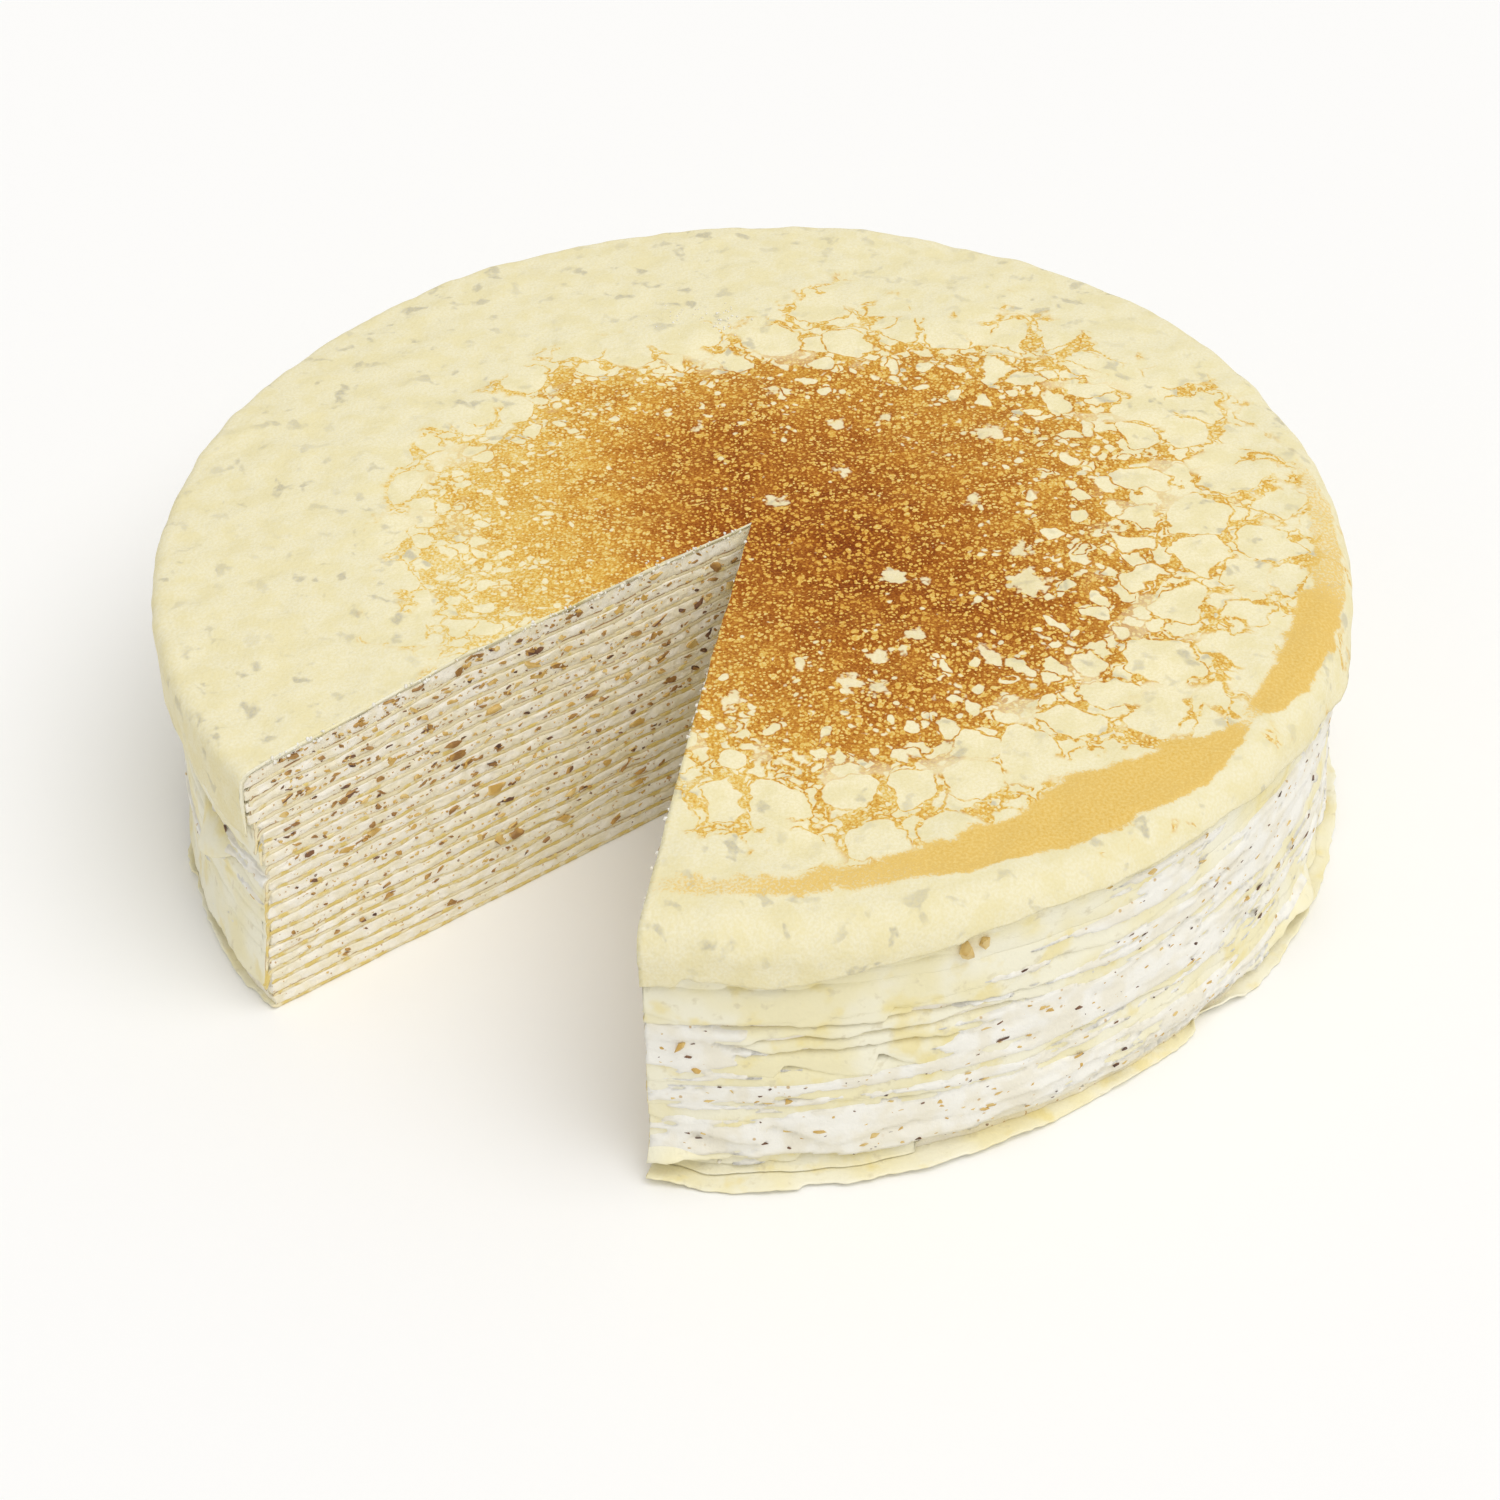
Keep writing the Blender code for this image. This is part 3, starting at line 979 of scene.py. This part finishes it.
def cream_crumbs(material):
    """Bits of cream that the knife dragged up to the top edge of the cuts, crumbs on the top crepe,
    and crumbs along the foot."""
    source = random.Random(91)
    bm = bmesh.new()
    for share, angle, spread, largest, count in TOP_CRUMBS:
        for _ in range(count):
            x, y = polar(share * RADIUS, angle)
            x, y = x + source.gauss(0.0, 0.5) * spread * MM, y + source.gauss(0.0, 0.5) * spread * MM
            if CUT_TO - 360.0 < math.degrees(math.atan2(y, x)) % 360.0 < CUT_FROM:
                continue
            size = source.uniform(0.25, 1.0) * largest * MM
            crumb(bm, source, Vector((x, y, crepe_height(CREPES, x, y, 1) + 0.15 * size)), size)
    for stretch, near in CUT_AT.items():
        for _ in range(CUT_CRUMBS[stretch]):
            along = source.uniform(2 * MM, RADIUS - 5 * MM)
            if rough(along / (7 * MM), near) < source.uniform(-0.6, 0.45):
                continue
            x, y = polar(along, near)
            height = crepe_height(CREPES, x, y, 1) - source.uniform(-0.15, 1.3) * MM
            centre, _, _ = on_face(stretch, along, source.uniform(-0.35, 0.25) * MM, height)
            crumb(bm, source, centre, source.uniform(0.3, 0.95) * MM)
    for _ in range(FOOT_CRUMBS):
        angle = source.uniform(CUT_FROM + 1, CUT_TO - 1)
        if rough(around(angle) / (14 * MM), 71.0) < source.uniform(-0.5, 0.5):
            continue
        bend, length, tilt, _ = OVERHANGS[FLAT_BASE].at(angle)
        past = BEND + source.uniform(0.0, 0.45) * length
        radius, height = crepe_point(FLAT_BASE, bend + past, angle, 1)
        centre = polar_point(radius + 0.1 * MM, angle, height + 0.2 * MM)
        crumb(bm, source, centre, source.uniform(0.4, 1.1) * MM)
    for face in bm.faces:
        face.smooth = True
    return finished(bm, "cream_crumbs", material)


# ------ materials

def colour(hexa):
    """An sRGB colour written as six hex digits, in linear light."""
    values = [int(hexa[at:at + 2], 16) / 255 for at in (0, 2, 4)]
    return tuple(v / 12.92 if v <= 0.04045 else ((v + 0.055) / 1.055) ** 2.4 for v in values) + (1.0,)


def add_node(tree, kind, links=(), out=0, **settings):
    """Adds a node with its settings and links, and returns one of its outputs. links gives a value,
    or another node's output, for the inputs: in order, or by name or number."""
    made = tree.nodes.new("ShaderNode" + kind)
    for name, value in settings.items():
        setattr(made, name, value)
    for socket, value in links.items() if isinstance(links, dict) else enumerate(links):
        if isinstance(value, bpy.types.NodeSocket):
            tree.links.new(value, made.inputs[socket])
        else:
            made.inputs[socket].default_value = value
    return made.outputs[out]


# Settings that many nodes share.
EASED = {"interpolation_type": "SMOOTHSTEP"}
FLAT_NOISE = {"noise_dimensions": "2D"}
FLAT_CELLS = {"voronoi_dimensions": "2D"}
COLOURS = {"data_type": "RGBA", "out": 2}
TIMES = {"operation": "MULTIPLY"}
PLUS = {"operation": "ADD"}
LESS = {"operation": "SUBTRACT"}
TIMES_PLUS = {"operation": "MULTIPLY_ADD"}
LARGER = {"operation": "MAXIMUM"}


def per_mm(size):
    """The scale of a pattern whose bumps or cells are this many millimetres."""
    return 1.0 / (size * MM)


def new_material(name, **values):
    """A material whose shader has these values, and the function that adds nodes to it."""
    made = bpy.data.materials.new(name)
    made.use_nodes = True
    for socket, value in values.items():
        made.node_tree.nodes["Principled BSDF"].inputs[socket.replace("_", " ")].default_value = value
    return made, partial(add_node, made.node_tree)


def finish(material, base, relief, depth_mm):
    """Joins a colour and a relief of this depth to the material's shader, and returns the material."""
    tree = material.node_tree
    shader = tree.nodes["Principled BSDF"]
    tree.links.new(base, shader.inputs["Base Color"])
    normal = add_node(tree, "Bump", {"Height": relief, "Distance": depth_mm * MM})
    tree.links.new(normal, shader.inputs["Normal"])
    return material


def cooked_crepe():
    """A thin egg-and-flour crepe: pale yellow and matt, with greyish shadows of nuts under it. Its
    cut edge is pale, smeared with cream, and brown in dots where its fried side is cut."""
    material, add = new_material("cooked_crepe", IOR=1.42, Roughness=0.52)
    coords = add("TexCoord", out="Object")
    cut, across, fried = [add("Attribute", attribute_name=name, out="Fac") for name in SLAB_LOOKS]
    broad, fine, fold_shade, grain = [
        add("TexNoise", {"Vector": coords, "Scale": per_mm(size), "Detail": detail})
        for size, detail in ((12.0, 2.0), (2.6, 3.0), (7.0, 3.0), (1.1, 2.0))
    ]
    yellower = add("MapRange", (broad, 0.38, 0.64), **EASED)
    # Deeper yellow in random patches is painted shade, standing in for the shade in the crepe's folds.
    fold_shade = add("MapRange", (fold_shade, 0.54, 0.70, 0.0, 0.65), **EASED)
    shadowed = add("MapRange", (fine, 0.60, 0.74, 0.0, 0.45), **EASED)
    pale = colour("F3EED5")
    for share, tone in ((yellower, "F0E7BD"), (fold_shade, "ECDB92"), (shadowed, "CFC3A0")):
        pale = add("Mix", {0: share, 6: pale, 7: colour(tone)}, **COLOURS)
    height = add("SeparateXYZ", (coords,), out=2)
    upper = add("MapRange", (height, 22 * MM, 48 * MM, 0.0, 0.14), **EASED)
    smeared = add("MapRange", (add("Math", (fine, upper), **PLUS), 0.42, 0.60), **EASED)
    outer = add("MapRange", (across, 0.60, 0.95), **EASED)
    dotted = add("MapRange", (fine, 0.44, 0.52), **EASED)
    singed = add("Math", (add("Math", (outer, dotted), **TIMES), fried), **TIMES)
    edge = colour("DFC778")
    for share, tone in ((smeared, "EFE4C0"), (singed, "94662F")):
        edge = add("Mix", {0: share, 6: edge, 7: colour(tone)}, **COLOURS)
    on_cut = add("MapRange", (cut, 0.2, 0.6), **EASED)
    surface = add("Mix", {0: on_cut, 6: pale, 7: edge}, **COLOURS)
    return finish(material, surface, grain, 0.16)


def whipped_cream(name, roughness, lumps, tones, shaken_mm, specks, grain):
    """Whipped cream folded with fine ground nuts. lumps: size in mm, detail, where the second tone
    begins. specks: for each kind of ground nut, the size of its cells in mm, which share of them stay
    empty, how soon they are full, the speck's inner and outer radius, strength and colour. grain:
    size in mm, roughness and depth in mm."""
    material, add = new_material(name, IOR=1.4, Roughness=roughness)
    coords = add("TexCoord", out="Object")
    size, detail, low = lumps
    lumpy = add("TexNoise", {"Vector": coords, "Scale": per_mm(size), "Detail": detail})
    share = add("MapRange", (lumpy, low, 0.62), **EASED)
    base = add("Mix", {0: share, 6: colour(tones[0]), 7: colour(tones[1])}, **COLOURS)
    shaken = add("TexNoise", {"Vector": coords, "Scale": per_mm(0.9), "Detail": 1.0}, out="Color")
    warped = add("VectorMath", (shaken, (shaken_mm * MM,) * 3, coords), **TIMES_PLUS)
    for size, empty, sure, inner, outer, strength, tone in specks:
        distance = add("TexVoronoi", {"Vector": warped, "Scale": per_mm(size)})
        number = add("SeparateColor", (distance.node.outputs["Color"],))
        chosen = add("MapRange", (number, empty, empty + sure), **EASED)
        speck = add("MapRange", (distance, inner, outer, strength, 0.0), **EASED)
        share = add("Math", (speck, chosen), **TIMES)
        base = add("Mix", {0: share, 6: base, 7: colour(tone)}, **COLOURS)
    size, roughness, depth = grain
    where = {"Vector": coords, "Scale": per_mm(size), "Detail": 3.0, "Roughness": roughness}
    return finish(material, base, add("TexNoise", where), depth)


def nut(name, light, deep, roughness):
    """Broken nut: a dense, faintly grained kernel or its thin papery skin, by its two colours."""
    material, add = new_material(name, IOR=1.47, Roughness=roughness)
    coords = add("TexCoord", out="Object")
    patches, grain = [
        add("TexNoise", {"Vector": coords, "Scale": per_mm(size), "Detail": 1.0}) for size in (2.6, 0.5)
    ]
    share = add("MapRange", (patches, 0.35, 0.65), **EASED)
    base = add("Mix", {0: share, 6: colour(light), 7: colour(deep)}, **COLOURS)
    return finish(material, base, grain, 0.08)


# The browned face from pale to dark, in shares of its tone.
BROWNS = (
    (0.00, "EFE7C4"), (0.10, "EEDEAC"), (0.20, "EAD38F"), (0.30, "E6C369"), (0.40, "DEB153"),
    (0.50, "D39C3C"), (0.60, "C28430"), (0.70, "B16E22"), (0.80, "9F5A16"), (0.90, "8C470B"),
    (1.00, "773506"),
)

# Blisters of the top crepe, from large to small: their size in mm, the browning at which they fill
# their whole cell and that at which they are gone, the thinnest line between them, how much they
# differ, how round they are, and how far they shrink where the crepe is finely blistered.
BLISTERS = (
    (12.0, 0.25, 0.66, 0.026, 0.16, 0.30, 0.50), (7.0, 0.34, 0.80, 0.045, 0.28, 0.42, 0.26),
    (4.2, 0.30, 0.86, 0.060, 0.40, 0.60, 0.00), (2.3, 0.30, 0.74, 0.080, 0.32, 0.50, 0.0),
)
RIM_OF_BLISTER = 0.30
# Pores of the even brown: the size of their cells in mm, the least and the largest pore in a cell.
PORES = ((0.95, 0.10, 0.50), (1.9, -0.14, 0.44))


def browned_crepe():
    """The top crepe, fried on its outer side: where the pan was hottest it is evenly brown with fine
    lighter pores; outwards the batter left the pan in pale blisters, with a golden network between.
    The pattern lies on the crepe as it lay in the pan, so it turns over the rim with the crepe."""
    material, add = new_material("browned_crepe", IOR=1.42, Roughness=0.6, Specular_IOR_Level=0.15)
    flat = add("Attribute", attribute_name="flat", out="Vector")
    browned, toned, coarse, gold, lone, outside = [
        add("Attribute", attribute_name=name, out="Fac") for name in TOP_LOOKS
    ]
    bent, shaken, blotches, grain, joining, clustered, uneven, relief = [
        add("TexNoise", {"Vector": flat, "Scale": per_mm(size), "Detail": detail}, out=out, **FLAT_NOISE)
        for size, detail, out in (
            (9.0, 1.0, "Color"), (2.6, 1.5, "Color"), (6.0, 3.0, 0), (0.55, 2.0, 0),
            (4.6, 2.0, 0), (26.0, 1.0, 0), (2.2, 2.0, 0), (1.2, 2.0, 0),
        )
    ]
    shaken = add("VectorMath", (shaken, (1.1 * MM,) * 3, flat), **TIMES_PLUS)
    bent = add("VectorMath", (bent, (3.2 * MM,) * 3, shaken), **TIMES_PLUS)

    # Blisters: pale cells that shrink towards the heat. Smaller ones stand clear of larger ones.
    well_fried = add("MapRange", (browned, 0.08, 0.46))
    clear = apart = None
    for size, full, gone, line, differ, round_share, finer in BLISTERS:
        moved = add("VectorMath", (bent if size > 3.0 else shaken, (size * MM,) * 3), **PLUS)
        where = {"Vector": moved, "Scale": per_mm(size)}
        edge = add("TexVoronoi", where, feature="DISTANCE_TO_EDGE", **FLAT_CELLS)
        middle = add("TexVoronoi", where, **FLAT_CELLS)
        number = add("SeparateColor", (middle.node.outputs["Color"],))
        edge = add("Math", (edge, 1.0 - round_share, 0.5 * round_share), **TIMES_PLUS)
        inside = add("Math", (middle, -round_share, edge), **TIMES_PLUS)
        shrunk = add("MapRange", (browned, full, gone, line, 0.62))
        shrunk = add("Math", (number, differ, shrunk), **TIMES_PLUS)
        finer = add("MapRange", (coarse, 0.2, 0.9, finer, 0.0))
        shrunk = add("Math", (finer, well_fried, shrunk), **TIMES_PLUS)
        joined = add("MapRange", (joining, 0.35, 0.65, -0.85 / size, 0.55 / size))
        shrunk = add("Math", (shrunk, joined), **PLUS)
        left = add("Math", (inside, shrunk), **LESS)
        blister = add("MapRange", (left, -0.06 / size, 0.28 / size), **EASED)
        rim = RIM_OF_BLISTER / size
        outside_it = add("MapRange", (left, -1.6 * rim, -rim, 1.0, 0.0), **EASED)
        if clear:
            blister = add("Math", (blister, apart), **TIMES)
            clear = add("Math", (clear, blister), **LARGER)
            apart = add("Math", (apart, outside_it), **TIMES)
        else:
            clear, apart = blister, outside_it
    lone = add("Math", (lone, add("MapRange", (uneven, 0.3, 0.7, -1.1, 1.3))), **PLUS)
    lone = add("MapRange", (lone, -0.5, 0.3, 0.92, 0.0))
    clear = add("Math", (clear, lone), **LARGER)

    # The browns: darker and lighter in blotches and grains, and lighter in the pores.
    pores = None
    for size, least, most in PORES:
        middle = add("TexVoronoi", {"Vector": shaken, "Scale": per_mm(size)}, **FLAT_CELLS)
        number = add("SeparateColor", (middle.node.outputs["Color"],))
        radius = add("MapRange", (number, 0.0, 1.0, least, most))
        left = add("Math", (radius, middle), **LESS)
        pore = add("MapRange", (left, 0.0, 0.12), **EASED)
        pores = add("Math", (pores, pore), **LARGER) if pores else pore
    tone = toned
    for pattern, low, high in ((blotches, -0.12, 0.08), (grain, -0.19, 0.17)):
        tone = add("Math", (tone, add("MapRange", (pattern, 0.2, 0.8, low, high))), **PLUS)
    lighter = add("MapRange", (blotches, 0.3, 0.7, -0.30, -0.66))
    lighter = add("Math", (lighter, toned), **TIMES)
    tone = add("Math", (pores, lighter, tone), **TIMES_PLUS)
    browns = add("ValToRGB", (tone,))
    scale = browns.node.color_ramp
    scale.elements.remove(scale.elements[0])
    scale.elements[0].position, scale.elements[0].color = BROWNS[-1][0], colour(BROWNS[-1][1])
    for share, shade in BROWNS[:-1]:
        scale.elements.new(share).color = colour(shade)

    # The pale crepe: washed with yellow, clouded, with grey shadows of nuts in clusters.
    washed = add("MapRange", (browned, -0.12, 0.30), **EASED)
    cloudy = add("MapRange", (blotches, 0.40, 0.66, 0.0, 0.55), **EASED)
    spots = add("TexNoise", {"Vector": bent, "Scale": per_mm(4.4), "Detail": 2.5}, **FLAT_NOISE)
    spots = add("MapRange", (spots, 0.59, 0.73, 0.0, 0.70), **EASED)
    spots = add("Math", (spots, add("MapRange", (clustered, 0.38, 0.62, 0.25, 1.0))), **TIMES)
    dusty = add("MapRange", (grain, 0.30, 0.70, 0.40, 0.0), **EASED)
    pale = colour("EFE7C5")
    for share, shade in ((washed, "F6ECC6"), (cloudy, "E9DDAA"), (spots, "B4AE9C"), (dusty, "E6D8A0")):
        pale = add("Mix", {0: share, 6: pale, 7: colour(shade)}, **COLOURS)

    # Where the browns are kept: between the blisters, fading outwards, with healed gaps far out.
    ragged = add("Math", (browned, add("MapRange", (blotches, 0.3, 0.7, -0.10, 0.10))), **PLUS)
    fading = add("MapRange", (ragged, -0.05, 0.06), **EASED)
    healed = add("TexNoise", {"Vector": bent, "Scale": per_mm(11.0), "Detail": 1.0}, **FLAT_NOISE)
    healed = add("MapRange", (healed, 0.56, 0.66, 1.0, 0.0), **EASED)
    healed = add("Math", (healed, add("MapRange", (browned, 0.20, 0.44))), **LARGER)
    kept = add("Math", (1.0, clear), **LESS)
    for share in (fading, healed):
        kept = add("Math", (kept, share), **TIMES)
    band = add("Math", (gold, add("MapRange", (grain, 0.3, 0.7, -0.26, 0.24))), **PLUS)
    band = add("MapRange", (band, 0.10, 0.74), **EASED)
    band = add("Math", (band, add("MapRange", (gold, 0.0, 0.16))), **TIMES)
    golden = add("Mix", {0: grain, 6: colour("D9AC42"), 7: colour("F0D489")}, **COLOURS)
    surface = pale
    for share, layer in ((kept, browns), (band, golden)):
        surface = add("Mix", {0: share, 6: surface, 7: layer}, **COLOURS)
    surface = add("Mix", {0: outside, 6: colour("EBE1AE"), 7: surface}, **COLOURS)
    return finish(material, surface, relief, 0.16)


# ------ the cake

crepe_look = cooked_crepe()
top_look = browned_crepe()
# Cream as it is cut, ivory and slightly torn, and as the palette knife spreads it, whiter with few
# nuts.
cream_look = whipped_cream(
    "nutty_cream", 0.55, (4.0, 3.0, 0.38), ("F7F1E2", "F0E7CC"), 0.5,
    ((1.0, 0.66, 0.02, 0.17, 0.27, 0.85, "C39A60"), (1.9, 0.84, 0.02, 0.13, 0.19, 0.85, "7C573C")),
    (0.9, 0.65, 0.22),
)
spread_look = whipped_cream(
    "spread_cream", 0.5, (6.0, 2.0, 0.40), ("F3F0E6", "EDE7D5"), 0.0,
    ((2.1, 0.72, 0.03, 0.10, 0.20, 0.8, "C9A56B"),), (1.2, 0.6, 0.2),
)
kernel_look = nut("nut_kernel", "DCC07E", "C9A254", 0.5)
toasted_look = nut("toasted_nut", "BE9450", "936A38", 0.5)
skin_look = nut("nut_skin", "7C573C", "52372A", 0.6)

# How many nuts there are in each cut face, and their least and largest size in mm.
TOASTED_NUTS = ((34, 2.4, 4.2), (150, 1.4, 2.4), (330, 0.6, 1.3))
KERNEL_NUTS = ((32, 2.4, 4.4), (150, 1.2, 2.4), (640, 0.5, 1.2))
SIDE_NUTS = 620


def keep(piece, slot, *nodes):
    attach(piece, "root")
    if nodes:
        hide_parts(*nodes)


for number in range(1, CREPES):
    keep(crepe_slab(number, crepe_look), "crepe", node_of("crepe", number))
    keep(cream_slab(number, cream_look), "nutty_cream", node_of("cream", number))
keep(top_crepe_piece(top_look, crepe_look), "browned_crepe", TOP)
smear = Smear()
keep(side_smear(smear, spread_look, cream_look), "nutty_cream")
keep(nut_pieces("nuts_toasted", 11, TOASTED_NUTS, 0.6, toasted_look, skin_look), "nutty_cream")
keep(nut_pieces("nuts_kernel", 12, KERNEL_NUTS, 0.25, kernel_look, toasted_look), "nutty_cream")
keep(side_nuts("side_nuts", 13, SIDE_NUTS, smear, kernel_look, skin_look), "nutty_cream")
keep(cream_crumbs(spread_look), "nutty_cream")

# ------ floor, light and camera


def floor():
    bm = bmesh.new()
    bmesh.ops.create_grid(bm, x_segments=1, y_segments=1, size=3.0)
    bmesh.ops.translate(bm, verts=bm.verts, vec=(0.0, 0.0, -0.1 * MM))
    mesh = bpy.data.meshes.new("floor")
    bm.to_mesh(mesh)
    bm.free()
    mesh.materials.append(new_material("pale_floor", Base_Color=colour("FAF9F7"), Roughness=0.6)[0])
    made = bpy.data.objects.new("floor", mesh)
    bpy.context.scene.collection.objects.link(made)


def soft_sun(name, place, spread, strength):
    """A large, far light that shines from place towards the cake."""
    light = bpy.data.lights.new(name, "SUN")
    light.angle = math.radians(spread)
    light.energy = strength
    lamp = bpy.data.objects.new(name, light)
    lamp.location = place
    lamp.rotation_euler = (-Vector(place)).to_track_quat("-Z", "Y").to_euler()
    bpy.context.scene.collection.objects.link(lamp)


scene = bpy.context.scene
floor()
soft_sun("key", (0.45, -0.40, 1.2), 50.0, 1.42)

world = bpy.data.worlds.new("studio")
world.use_nodes = True
world.node_tree.nodes["Background"].inputs[0].default_value = (1.0, 1.0, 1.0, 1.0)
world.node_tree.nodes["Background"].inputs[1].default_value = 0.64
scene.world = world
scene.view_settings.view_transform = "Standard"
scene.view_settings.look = "None"

# The camera looks down at the cut from the front, tilted a little to one side.
LOOK_DOWN = math.radians(38.0)
TILTED = math.radians(-1.43)
DISTANCE = 6.331 * 115.0 * MM
TARGET = Vector((-0.95 * MM, 0.0, 28.75 * MM))
camera = bpy.data.objects.new("camera", bpy.data.cameras.new("camera"))
camera.data.sensor_width = 36.0
camera.data.lens = 88.66
camera.data.shift_y = -0.0626
place = TARGET - DISTANCE * Vector((0.0, math.cos(LOOK_DOWN), -math.sin(LOOK_DOWN)))
tilt = Matrix.Rotation(math.pi / 2 - LOOK_DOWN, 4, "X") @ Matrix.Rotation(TILTED, 4, "Z")
camera.matrix_world = Matrix.Translation(place) @ tilt
scene.collection.objects.link(camera)
scene.camera = camera

bpy.context.view_layer.update()
